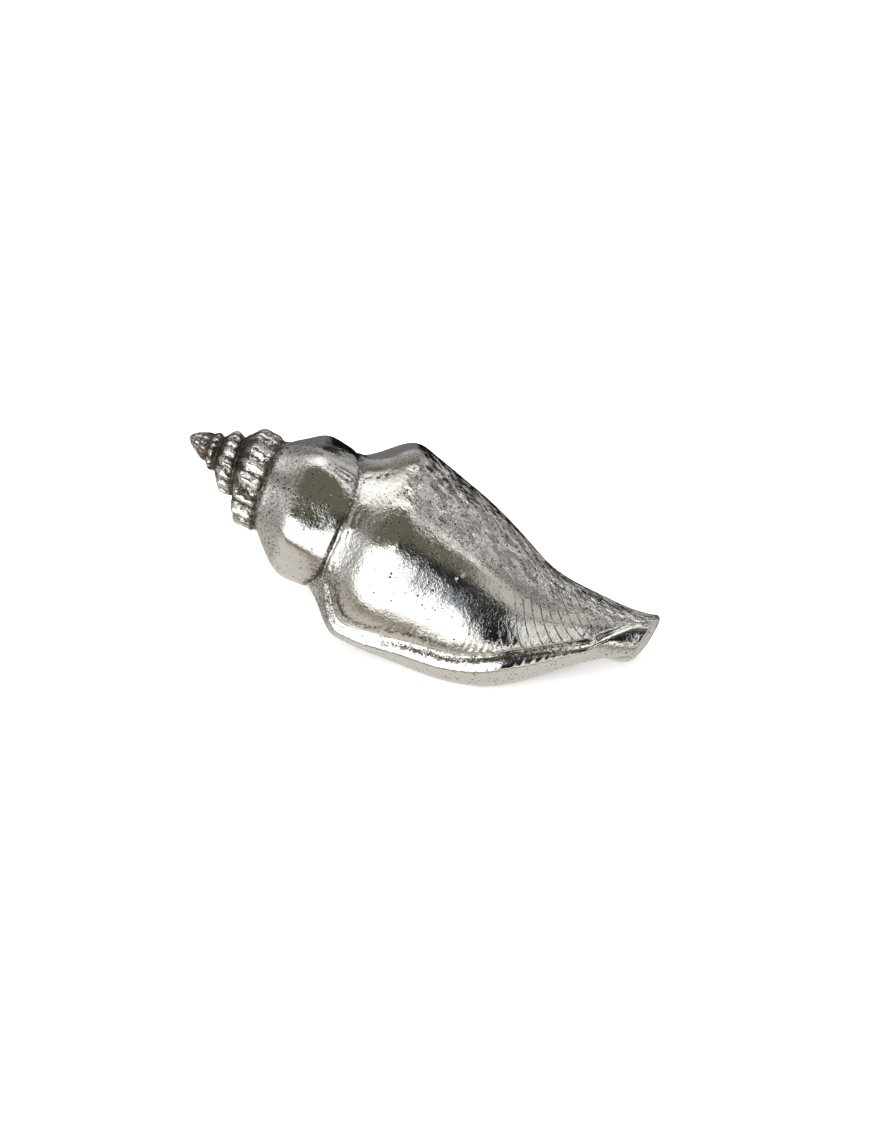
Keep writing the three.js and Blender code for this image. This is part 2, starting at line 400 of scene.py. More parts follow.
    def inside_radius(self, station: Array, angle: Array, edge: Array, depth: Array) -> Array:
        """Radius of the lip's inside: the whorl less a wall that rounds over at the edge.

        Args:
            station: millimetres along the axis.
            angle: degrees back from the lip.
            edge: the lip's edge, in the same degrees.
            depth: the cavity's end, in the same degrees.

        Returns:
            The radius in millimetres.
        """
        whorl, _, _, _ = self.whorl(station, angle / FULL_TURN)
        outside = whorl + self.roll_at(station) * smooth(27.0, 0.0, angle)
        thinning = 1.0 - 0.35 * smooth(0.0, 1.0, (angle - edge) / (depth - edge))
        rounding = mix(self.nose_share, 1.0, self.rim_round(angle, edge, outside))
        wall = np.minimum(self.wall_at(station) * rounding * thinning, 0.55 * outside)
        return np.maximum(outside - wall, self.columella_radius(station, FULL_TURN + depth) + 1.0)

    def centre(self, station: Array, radius: float = 0.0, angle: float = 0.0) -> tuple[Array, Array]:
        """Middle of the bent canal, moved out into its wall by a radius and an angle.

        Args:
            station: millimetres along the axis.
            radius: millimetres from the middle.
            angle: degrees round the middle, from sideways to up.

        Returns:
            Places sideways and up.
        """
        run = np.clip((station - self.bend_from) / self.bend_length, 0.0, 2.0)
        rise = self.bend_rise * np.power(run, self.bend_power)
        towards, out = math.radians(self.bend_towards), math.radians(angle)
        side = rise * math.cos(towards) + radius * math.cos(out)
        return side, rise * math.sin(towards) + radius * math.sin(out)

    def place(self, station: Array, side: Array, up: Array) -> Array:
        """Turns axis places into the part's frame, ground flat where they would pass the floor.

        Args:
            station: millimetres along the axis.
            side: millimetres sideways from the axis.
            up: millimetres above the axis.

        Returns:
            Points, with x, y and z last.
        """
        lift = math.radians(self.apex_lift)
        along = station - self.axis_middle
        x = along * math.cos(lift) + up * math.sin(lift)
        z = up * math.cos(lift) - along * math.sin(lift) + self.axis_height
        return np.stack([x, -side, np.maximum(z, 0.0)], axis=-1)


# ---------------------------------------------------------------- small relief


@dataclass(frozen=True)
class Bead:
    """A round drop or pit of metal left by the casting."""

    station: float
    angle: float
    radius: float
    height: float

    def share(self, station: Array, angle: Array, radius: Array) -> Array:
        """Bell round the bead's middle, by the distance over the skin."""
        off = np.hypot(station - self.station, np.radians(angle - self.angle) * radius)
        return bell(off / self.radius)


@dataclass(frozen=True)
class Relief:
    """What the casting and its polishing leave on the form, in millimetres.

    Windows are on whorls counted back from the lip, on the share of the way across a whorl, on
    stations or on degrees back from the lip.
    """

    ribs_per_turn: int = 16
    first_rib: float = 2.02
    rib_height: float = 0.1
    rib_sharpness: float = 1.3
    ribbed: Window = Window((1.75, 2.05), (3.1, 3.9))
    rib_across: Window = Window((0.05, 0.32), (0.88, 1.04))
    knobs_per_turn: float = 5.5
    first_knob: float = 1.53
    knob_height: float = 0.068
    knob_sharpness: float = 1.5
    knobbed: Window = Window((0.85, 1.05), (1.75, 2.0))
    suture_depth: float = 0.24
    suture_width: float = 0.5
    sutured: Window = Window((1.5, 3.0), (40.0, 60.0))
    no_suture: float = 9.0
    groove_depth: float = 0.55
    groove_width: float = 0.55
    grooved: Window = Window((38.0, 46.0), (78.0, 86.0))
    corded: Window = Window((64.0, 70.0), (84.5, 87.0))
    dent_length: float = 13.0
    dent_height: float = 0.05
    small_dent_length: float = 5.0
    hammer_length: float = 1.5
    hammer_height: float = 0.11
    hammer_lean: tuple[float, float] = (0.91, 0.41)
    hammered: Window = Window((37.0, 42.0), (66.0, 84.0))
    wrinkle_length: float = 1.7
    wrinkle_height: float = 0.06
    streak_length: float = 0.95
    streak_height: float = 0.05
    streaked: Window = Window((36.0, 44.0), (76.0, 84.0))
    lump_length: float = 1.5
    lump_height: float = 0.075
    lumpy: Window = Window((0.5, 4.0), (29.0, 33.0))
    beads: tuple[Bead, ...] = (
        Bead(55.6, 92.1, 0.42, 0.24), Bead(40.5, 112.7, 0.36, 0.2), Bead(52.5, 104.0, 0.26, 0.13),
        Bead(48.6, 30.5, 0.6, 0.3), Bead(72.0, 95.0, 0.3, 0.15),
        Bead(34.6, 131.0, 0.5, -0.2), Bead(33.4, 131.0, 0.35, -0.2), Bead(35.8, 133.0, 0.45, -0.22),
        Bead(36.8, 134.0, 0.3, -0.16), Bead(32.6, 128.0, 0.3, -0.16),
    )

    def rib_wave(self, number: Array) -> Array:
        """Cosine that peaks on every rib, with the ribs a little unevenly spaced."""
        wander = 0.007 * np.sin(17.0 * number) + 0.004 * np.sin(41.0 * number + 2.0)
        return np.cos(2.0 * math.pi * self.ribs_per_turn * (number + wander - self.first_rib))

    def ribs(self, number: Array, across: Array) -> Array:
        """Ribs on the upper whorls and knobs on the one before last, as a factor on the radius.

        Both are powers of raised cosines round the whorl, times their windows across it.

        Args:
            number: whorl counted back from the lip.
            across: share of the way across the whorl.

        Returns:
            The factor, 1 where there is neither.
        """
        rib = np.power(0.5 + 0.5 * self.rib_wave(number), self.rib_sharpness) - 0.4
        uneven = 1.0 + 0.3 * np.sin(9.3 * number + 1.0) + 0.25 * np.sin(61.0 * number)
        ribs = self.rib_height * rib * self.ribbed(number) * self.rib_across(across) * uneven
        knob = np.cos(2.0 * math.pi * self.knobs_per_turn * (number - self.first_knob))
        knob = 1.35 * np.power(0.5 + 0.5 * knob, self.knob_sharpness) - 0.6
        knob_across = smooth(0.1, 0.56, across) * (1.0 - 0.7 * smooth(0.5, 1.05, across))
        return 1.0 + ribs + self.knob_height * knob * self.knobbed(number) * knob_across

    def suture(self, across: Array, width: Array, station: Array) -> Array:
        """Distance in millimetres to the line where one whorl meets the next, far away off the spire."""
        gap = np.minimum(np.abs(across), np.abs(1.0 - across)) * width
        return gap + self.no_suture * (1.0 - self.sutured(station))

    def cords(self, station: Array, angle: Array, groove: Array) -> Array:
        """Where the fine spiral lines near the canal are: 1 in the middle of their field."""
        return self.corded(station) * smooth(3.0, 8.0, angle - groove) * smooth(215.0, 190.0, angle)

    def groove(self, station: Array, angle: Array, groove: Array, radius: Array) -> Array:
        """Share of the groove above the lip's rim: a bell round its own line."""
        off = np.radians(angle - groove) * radius
        return bell(off / self.groove_width) * self.grooved(station)

    def texture(self, ring: dict[str, Array], groove_at: Array) -> Array:
        """What casting and polishing add to the radius.

        It is a sum of seeded waves, each kept to its own part: wide dents, hammered metal on the far
        side of the back, wrinkles by the last suture, streaks by the lip, lumps on the spire. Round
        beads and pits are bells.

        Args:
            ring: the rings' angles, radii and measures.
            groove_at: angle of the lip's groove at each station.

        Returns:
            Millimetres to add to the radius.
        """
        s, a, r = ring["station"], ring["angle"], ring["radius"]
        theta = np.radians(a)
        arc = theta * np.maximum(r, 4.0)
        solid = 1.0 - ring["hollow"]
        in_space = np.stack([s, r * np.cos(theta), r * np.sin(theta)], axis=-1)
        unrolled = np.stack([s, arc], axis=-1)
        total = waves(in_space, self.dent_length, 14, 3, (1.5, 1.0, 1.0)) * self.dent_height
        small = waves(in_space, self.small_dent_length, 18, 5, (1.3, 1.0, 1.0))
        total = (total + small * self.dent_height * 0.3) * (smooth(14.0, 30.0, s) * solid)

        near, far = smooth(110.0, 126.0, a), smooth(285.0, 250.0, a)
        far_back = near * (0.25 + 0.75 * smooth(172.0, 152.0, a)) * far
        run, lean = self.hammer_lean
        strokes = np.stack([s * run - arc * lean, arc * run + s * lean], axis=-1)
        hammer = np.abs(waves(strokes, self.hammer_length, 30, 11, (2.2, 1.0))) - 0.55
        total = total + hammer * self.hammer_height * far_back * self.hammered(s)

        wrinkled = bell(ring["gap"] / 2.0) * smooth(1.3, 1.0, ring["number"]) * smooth(125.0, 95.0, a)
        wrinkles = waves(unrolled, self.wrinkle_length, 24, 23, (0.7, 1.3))
        total = total + wrinkles * self.wrinkle_height * wrinkled

        by_lip = bell((a - groove_at - 6.0) / 8.0) + 0.8 * bell((a - groove_at + 8.0) / 6.0)
        streaks = waves(unrolled, self.streak_length, 24, 17, (1.0, 5.0))
        total = total + streaks * self.streak_height * by_lip * self.streaked(s)

        lumps = waves(in_space, self.lump_length, 26, 31, (1.0, 1.0, 1.0)) * self.lumpy(s)
        total = total + lumps * self.lump_height * smooth(1.6, 2.1, ring["number"])
        for bead in self.beads:
            total = total + bead.height * bead.share(s, a, r)
        return total * solid


@dataclass(frozen=True)
class PatinaAndPaintedReflection:
    """Where the metal is stained brown, matte or rippled, and where a dark reflection is painted just below
    the lip's groove, as shares from 0 to 1.
    """

    old_whorls: tuple[float, float] = (1.6, 2.1)
    suture_width: float = 0.8
    above_lip: float = 2.9
    above_width: float = 0.75
    above_window: Window = Window((36.0, 39.0), (56.0, 68.0))
    # The line just below the groove is painted dark: painted reflection.
    below_groove: float = -0.8
    below_width: float = 0.36
    below_window: Window = Window((44.0, 52.0), (74.0, 82.0))
    corner_at: float = 35.5
    corner_length: float = 4.5
    matte_whorl: Window = Window((0.8, 1.0), (2.0, 2.2))
    rippled_round: Window = Window((108.0, 126.0), (150.0, 178.0))
    pitted_round: Window = Window((150.0, 178.0), (280.0, 320.0))
    pitted_share: float = 0.35
    rippled_from: tuple[float, float] = (37.5, 42.0)

    def corner(self, station: Array, angle: Array) -> Array:
        """The lip's hind corner."""
        return bell((station - self.corner_at) / self.corner_length) * smooth(62.0, 38.0, angle)

    def tarnish(self, at: dict[str, Array], rib_wave: Array) -> Array:
        """Brown tarnish in the sutures, between the ribs and on the old whorls' ramps, a brown line along
        the lip above its groove, and a painted dark reflection in a line just below the groove.

        Args:
            at: the outer skin's measures.
            rib_wave: cosine that peaks on every rib.

        Returns:
            Share of tarnish and painted reflection.
        """
        old = smooth(*self.old_whorls, at["number"])
        between = np.power(0.5 - 0.5 * rib_wave, 1.6) * old * smooth(0.0, 0.3, at["across"])
        ramp = smooth(0.42, 0.2, at["across"]) * old
        up = np.radians(at["angle"] - at["groove_at"]) * at["radius"]
        above = bell((up - self.above_lip) / self.above_width) * self.above_window(at["station"])
        # A narrow dark line just under the groove is painted reflection: it stands in for the dark that the
        # groove mirrors.
        below = bell((up - self.below_groove) / self.below_width) * self.below_window(at["station"])
        stain_and_painted_reflection = 0.62 * bell(at["gap"] / self.suture_width) * smooth(-0.2, 0.7, at["number"])
        stain_and_painted_reflection = stain_and_painted_reflection + 0.45 * between + 0.42 * ramp + 0.12 * old + 0.5 * above + 0.7 * below
        stain_and_painted_reflection = stain_and_painted_reflection + 0.4 * np.power(at["groove"], 3.0) + 0.42 * self.corner(at["station"], at["angle"])
        return np.clip(stain_and_painted_reflection, 0.0, 1.0)

    def matte(self, at: dict[str, Array]) -> Array:
        """Matte on the upper whorl's ramp, the rim, the far side and the lip's hind corner.

        Args:
            at: the outer skin's measures.

        Returns:
            Share of matte metal.
        """
        station, angle = at["station"], at["angle"]
        ramp = smooth(0.5, 0.36, at["across"]) * self.matte_whorl(at["number"])
        rim = smooth(0.75, 0.4, angle / at["groove_at"]) * smooth(34.0, 42.0, station)
        back = smooth(148.0, 164.0, angle) * smooth(47.0, 58.0, station)
        return np.clip(ramp + 0.3 * rim + 0.25 * back + self.corner(station, angle), 0.0, 1.0)

    def rippled(self, station: Array, angle: Array) -> Array:
        """Rippled metal on the far side of the back, less of it further round."""
        round_it = np.maximum(self.rippled_round(angle), self.pitted_share * self.pitted_round(angle))
        return round_it * smooth(*self.rippled_from, station)


# ---------------------------------------------------------------- the shell as a mesh


class Skin(Enum):
    """The measures kept on the mesh for its metal."""

    TARNISH = "tarnish"
    HOLLOW = "hollow"
    RIPPLED = "rippled"
    MATTE = "matte"
    CORDS = "cords"


@dataclass
class ConchShell:
    """The whole casting: its form, its relief and its mesh."""

    form: Form = field(default_factory=Form)
    relief: Relief = field(default_factory=Relief)
    patina: PatinaAndPaintedReflection = field(default_factory=PatinaAndPaintedReflection)
    grid: Grid = field(default_factory=Grid)
    metal: "WhiteMetal" = field(default_factory=lambda: WhiteMetal())

    def stations(self) -> Array:
        """Ring stations: gaps that grow evenly along the spire, even ones behind, close ones at the tip."""
        g, f = self.grid, self.form
        list_of = [0.04, 0.1, 0.18]
        while list_of[-1] < f.tip_from - g.body_gap:
            here = list_of[-1]
            list_of.append(here + min(g.spire_gap + g.spire_growth * here, g.body_gap))
        tip = 1.0 - np.square(np.linspace(1.0, 0.0, g.tip_rings + 1)[:-1])
        tip = f.tip_from + (f.length - f.tip_from) * tip
        return np.concatenate([list_of, tip])

    def outer(self, station: Array, angle: Array) -> dict[str, Array]:
        """The outer skin before its edge is rounded.

        Args:
            station: stations as a column.
            angle: degrees back from the lip, one row per station.

        Returns:
            The radius and the measures for the metal.
        """
        f, d = self.form, self.relief
        radius, number, across, width = f.whorl(station, angle / FULL_TURN)
        radius = radius * d.ribs(number, across)
        groove_at = f.groove_at(station)
        groove = d.groove(station, angle, groove_at, radius)
        gap, cords = d.suture(across, width, station), d.cords(station, angle, groove_at)
        suture = bell(gap / d.suture_width)
        radius = radius + f.roll_at(station) * smooth(0.99, 0.77, angle / groove_at)
        radius = radius - d.groove_depth * groove - d.suture_depth * suture
        cone = 0.54 * station + 0.75
        radius = mix(cone, radius, smooth(2.5, 6.0, station))
        radius = radius * np.sqrt(1.0 - np.square(1.0 - np.clip(station / 1.3, 0.0, 1.0)))
        at = {
            "station": station, "angle": angle, "radius": radius, "number": number, "across": across,
            "gap": gap, "groove_at": groove_at, "groove": groove, "cords": cords,
        }
        at["tarnish"] = self.patina.tarnish(at, d.rib_wave(number))
        at["matte"] = self.patina.matte(at)
        return at

    def ring(self) -> dict[str, Array]:
        """Every ring of the skin: angles, radii and measures, rows by station and columns round it.

        The outer skin runs from the lip's edge to the groove and on to the columella. The rest closes
        it: over the spire along the skin itself, and in the opening along the columella, the cavity's
        end and the lip's inside, blended between the two at the lip's hind corner.

        Returns:
            The rings' stations, angles, radii and measures.
        """
        f, g = self.form, self.grid
        s = self.stations()[:, None]
        free = f.lip_free(s)
        edge, groove = f.edge_up(s) * free, f.groove_at(s)
        back = FULL_TURN - f.opening
        depth = f.cavity_depth * (1.0 - 0.5 * smooth(60.0, 84.0, s))
        to_groove = 0.5 - 0.5 * np.cos(np.linspace(0.0, math.pi, g.rim + 1)[:-1])
        to_back = np.power(np.linspace(0.0, 1.0, g.whorl + 1), 1.12)
        angle = np.concatenate([mix(edge, groove, to_groove), mix(groove, back, to_back)], axis=1)
        skin = self.outer(s, angle)
        cut = free * f.nose_share * f.wall_at(s) * (1.0 - f.rim_round(angle, edge, skin["radius"]))
        radius = skin["radius"] - cut + f.lobe(s, angle - back)

        inner = mix(back, FULL_TURN + depth, np.linspace(0.0, 1.0, g.columella + 1)[1:])
        foot, roof = f.columella_radius(s, FULL_TURN + depth), f.inside_radius(s, depth, edge, depth)
        share = np.linspace(0.0, 1.0, g.end + 1)[1:-1]
        turn = np.sin(math.pi * share) * 6.0 + FULL_TURN + depth
        out = mix(depth, edge, np.sin(np.linspace(0.0, 0.5 * math.pi, g.inside + 1)[:-1]))
        cavity_angle = np.concatenate([inner, turn, FULL_TURN + out], axis=1)
        cavity_radius = np.concatenate(
            [f.columella_radius(s, inner), mix(foot, roof, share), f.inside_radius(s, out, edge, depth)],
            axis=1,
        )
        count = cavity_angle.shape[1]
        share = (np.arange(count) + 1.0) / (count + 1.0)
        over_angle = mix(back, FULL_TURN + edge, share)
        over = self.outer(s, over_angle)
        end = self.outer(s, np.full_like(s, FULL_TURN))["radius"]
        over_radius = over["radius"] + (radius[:, :1] - end) * smooth(0.45, 1.0, share)
        close_angle = mix(over_angle, cavity_angle, free)
        close_radius = mix(over_radius, np.maximum(cavity_radius, 0.6), free)
        hollow = free * np.sin(math.pi * share)
        round_it = np.concatenate([angle, close_angle], axis=1)
        return {
            "station": s + 0.0 * round_it,
            "angle": round_it,
            "radius": np.concatenate([radius, close_radius], axis=1),
            "tarnish": np.concatenate([skin["tarnish"], over["tarnish"] * (1.0 - free)], axis=1),
            "number": np.concatenate([skin["number"], over["number"]], axis=1),
            "gap": np.concatenate([skin["gap"], over["gap"] + 9.0 * free], axis=1),
            "matte": np.concatenate([skin["matte"], over["matte"] * (1.0 - free)], axis=1),
            "cords": np.concatenate([skin["cords"], 0.0 * close_angle], axis=1),
            "hollow": np.concatenate([0.0 * angle, hollow], axis=1),
        }

    def points(self, ring: dict[str, Array]) -> Array:
        """The grid's points in the part's frame, with the canal's end drawn together inside its wall.

        Args:
            ring: the rings' stations, angles and radii.

        Returns:
            Points by ring and column.
        """
        f = self.form
        s, theta = ring["station"], np.radians(f.lip_angle + ring["angle"])
        mid_side, mid_up = f.centre(s)
        end_side, end_up = f.centre(s, f.tip_radius, f.tip_angle)
        share = np.clip((s - f.tip_from) / (f.length - f.tip_from), 0.0, 1.0)
        shrink = np.power(1.0 - np.power(share, f.tip_power), 1.0 / f.tip_power)
        along = np.minimum(s, f.tip_from) + share * f.tip_length
        side = mix(end_side, mid_side + ring["radius"] * np.cos(theta), shrink)
        up = mix(end_up, mid_up + ring["radius"] * np.sin(theta), shrink)
        return f.place(along, side, up)

    def build(self) -> bpy.types.Object:
        """Makes the piece, dresses it, hangs it under the root body and hides the solid it stands in for.

        Returns:
            The finished object.
        """
        ring = self.ring()
        groove_at = self.form.groove_at(ring["station"])
        ring["radius"] = ring["radius"] + self.relief.texture(ring, groove_at)
        grid = self.points(ring)
        rows, columns = grid.shape[:2]
        apex = self.form.place(np.array(0.0), np.array(0.0), np.array(0.0))
        f = self.form
        end_at = f.centre(np.array(f.length), f.tip_radius, f.tip_angle)
        end = f.place(np.array(f.tip_from + f.tip_length), *end_at)
        verts = np.concatenate([grid.reshape(-1, 3), apex[None], end[None]])
        low, high = np.array(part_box(NODE)) / MM
        middle = 0.5 * (verts.min(axis=0) + verts.max(axis=0))
        verts[:, :2] += 0.5 * (low + high)[:2] - middle[:2]

        at = np.arange(rows * columns).reshape(rows, columns)
        beside = np.roll(at, -1, axis=1)
        quads = np.stack([at[:-1], at[1:], beside[1:], beside[:-1]], axis=-1).reshape(-1, 4)
        first = np.stack([np.full(columns, rows * columns), at[0], beside[0]], axis=-1)
        last = np.stack([np.full(columns, rows * columns + 1), beside[-1], at[-1]], axis=-1)
        faces = quads.tolist() + first.tolist() + last.tolist()
        mesh = bpy.data.meshes.new("cast_conch")
        mesh.from_pydata((verts * MM).tolist(), [], faces)
        mesh.polygons.foreach_set("use_smooth", np.ones(len(faces), bool))
        self.measure(mesh, ring)
        self.wrap(mesh, ring, rows, columns)
        mesh.update()
        piece = bpy.data.objects.new("cast_conch", mesh)
        bpy.context.scene.collection.objects.link(piece)
        mesh.materials.append(self.metal.material())
        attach(piece, "root")
        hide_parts(NODE)
        LOG.info("cast_conch: %d faces, %d rings of %d", len(faces), rows, columns)
        return piece

    def measure(self, mesh: bpy.types.Mesh, ring: dict[str, Array]) -> None:
        """Keeps the measures for the metal as point attributes, with the two poles added at the end.

        Args:
            mesh: the piece's mesh.
            ring: the rings' measures.
        """
        s, a, r = ring["station"], ring["angle"], ring["radius"]
        solid = 1.0 - ring["hollow"]
        stain_and_painted_reflection = ring["tarnish"]
        for bead in self.relief.beads:
            if bead.height < 0.0:
                stain_and_painted_reflection = np.maximum(stain_and_painted_reflection, bead.share(s, a, r) * solid)
        values = {
            Skin.TARNISH: stain_and_painted_reflection,
            Skin.HOLLOW: ring["hollow"],
            Skin.RIPPLED: self.patina.rippled(s, a) * solid,
            Skin.MATTE: ring["matte"],
            Skin.CORDS: ring["cords"],
        }
        for name, value in values.items():
            flat = np.concatenate([value.ravel(), value[:1, :1].ravel(), value[-1:, :1].ravel()])
            layer = mesh.attributes.new(name.value, "FLOAT", "POINT")
            layer.data.foreach_set("value", flat.astype(np.float32))

    def wrap(self, mesh: bpy.types.Mesh, ring: dict[str, Array], rows: int, columns: int) -> None:
        """UV map: turns round the axis and decimetres along it, with one seam at the lip's edge.

        Args:
            mesh: the piece's mesh.
            ring: the rings' angles and stations.
            rows: number of rings.
            columns: number of points round a ring.
        """
        turn = ring["angle"] / FULL_TURN
        along = ring["station"] / DECIMETRE
        closed = np.concatenate([turn, turn[:, :1] + 1.0 + self.form.cavity_depth / FULL_TURN], axis=1)
        i, j = np.meshgrid(np.arange(rows - 1), np.arange(columns), indexing="ij")
        corner_i = np.stack([i, i + 1, i + 1, i], axis=-1)
        corner_j = np.stack([j, j, j + 1, j + 1], axis=-1)
        quads = np.stack([closed[corner_i, corner_j], along[corner_i, 0 * corner_j]], axis=-1)
        k = np.arange(columns)
        zero, one = np.zeros(columns), np.ones(columns)
        mid = 0.5 * (closed[0, k] + closed[0, k + 1])
        first = [(mid, zero), (closed[0, k], zero), (closed[0, k + 1], zero)]
        first = np.stack([np.stack(pair, -1) for pair in first], axis=1)
        last = [(mid, one), (closed[-1, k + 1], one), (closed[-1, k], one)]
        last = np.stack([np.stack(pair, -1) for pair in last], axis=1)
        uv = np.concatenate([quads.reshape(-1, 2), first.reshape(-1, 2), last.reshape(-1, 2)])
        mesh.uv_layers.new(name="coil").data.foreach_set("uv", uv.astype(np.float32).ravel())


# ---------------------------------------------------------------- shader maths


class Value:
    """A number in a shader: wraps a socket, and arithmetic on it adds Math nodes."""

    def __init__(self, nodes: "Nodes", socket: bpy.types.NodeSocket) -> None:
        """Keeps the node tree and the socket."""
        self.nodes = nodes
        self.socket = socket

    def _math(self, operation: str, *values: object, clamp: bool = False) -> "Value":
        """One Math node on sockets and numbers."""
        settings = {"operation": operation, "use_clamp": clamp}
        return self.nodes.add("ShaderNodeMath", settings, dict(enumerate(values))).value()

    def __add__(self, other: object) -> "Value":
        """Sum."""
        return self._math("ADD", self, other)

    def __sub__(self, other: object) -> "Value":
        """Difference."""
        return self._math("SUBTRACT", self, other)

    def __rsub__(self, other: object) -> "Value":
        """Difference from a number."""
        return self._math("SUBTRACT", other, self)

    def __mul__(self, other: object) -> "Value":
        """Product."""
        return self._math("MULTIPLY", self, other)

    def clamp(self) -> "Value":
        """Held between 0 and 1."""
        return self._math("ADD", self, 0.0, clamp=True)

    def step(self, low: float, high: float) -> "Value":
        """Smooth step from 0 at low to 1 at high; low may be the greater."""
        settings = {"interpolation_type": "SMOOTHSTEP", "clamp": True}
        a, b, start, end = (low, high, 0.0, 1.0) if low < high else (high, low, 1.0, 0.0)
        inputs = {"Value": self, "From Min": a, "From Max": b, "To Min": start, "To Max": end}
        return self.nodes.add("ShaderNodeMapRange", settings, inputs).value("Result")


class Made:
    """A node just made, with short ways to its outputs."""

    def __init__(self, nodes: "Nodes", node: bpy.types.Node) -> None:
        """Keeps the tree and the node."""
        self.nodes = nodes
        self.node = node

    def out(self, name: str | int = 0) -> bpy.types.NodeSocket:
        """An output socket by name or number."""
        return self.node.outputs[name]

    def value(self, name: str | int = 0) -> Value:
        """An output socket as a number to work with."""
        return Value(self.nodes, self.node.outputs[name])


class Nodes:
    """A node tree that is filled from Python expressions."""

    def __init__(self, tree: bpy.types.NodeTree) -> None:
        """Empties the tree and keeps it."""
        tree.nodes.clear()
        self.tree = tree

    def add(self, kind: str, settings: dict | None = None, inputs: dict | None = None) -> Made:
        """Makes one node.

        Args:
            kind: the node's type.
            settings: its own properties, set first; "stops" holds a ramp's places and colours.
            inputs: values or links by socket name or number.

        Returns:
            The node, wrapped.
        """
        node = self.tree.nodes.new(kind)
        for name, value in (settings or {}).items():
            if name == "stops":
                self._stops(node.color_ramp, value)
            else:
                setattr(node, name, value)
        for name, value in (inputs or {}).items():
            source = value.socket if isinstance(value, Value) else value
            if isinstance(source, bpy.types.NodeSocket):
                self.tree.links.new(source, node.inputs[name])
            else:
                node.inputs[name].default_value = source
        return Made(self, node)

    def _stops(self, ramp: bpy.types.ColorRamp, stops: list) -> None:
        """Sets a ramp's stops."""
        while len(ramp.elements) < len(stops):
            ramp.elements.new(0.5)
        for element, (place, colour) in zip(ramp.elements, stops):
            element.position, element.color = place, colour

    def attribute(self, name: str) -> Value:
        """A point attribute as a number."""
        return self.add("ShaderNodeAttribute", {"attribute_name": name}).value("Fac")

    def noise(self, vector: bpy.types.NodeSocket, scale: float, detail: float, rough: float = 0.5) -> Value:
        """Noise about one half."""
        inputs = {"Vector": vector, "Scale": scale, "Detail": detail, "Roughness": rough}
        return self.add("ShaderNodeTexNoise", {}, inputs).value("Fac")

    def vector(self, operation: str, *values: object) -> Made:
        """One Vector Math node on sockets and triples."""
        return self.add("ShaderNodeVectorMath", {"operation": operation}, dict(enumerate(values)))

    def channel(self, made: Made, number: int) -> Value:
        """One channel of a node's colour."""
        return self.add("ShaderNodeSeparateColor", {}, {0: made.out("Color")}).value(number)

    def coil(self) -> Made:
        """The coil map's coordinates: turns round the axis, and decimetres along it."""
        place = self.add("ShaderNodeUVMap", {"uv_map": "coil"}).out()
        return self.add("ShaderNodeSeparateXYZ", {}, {0: place})

    def blend(self, share: Value, a: object, b: object) -> bpy.types.NodeSocket:
        """Blend of two colours."""
        made = self.add("ShaderNodeMix", {"data_type": "RGBA"}, {0: share, 6: a, 7: b})
        return made.out(2)


# ---------------------------------------------------------------- the metal


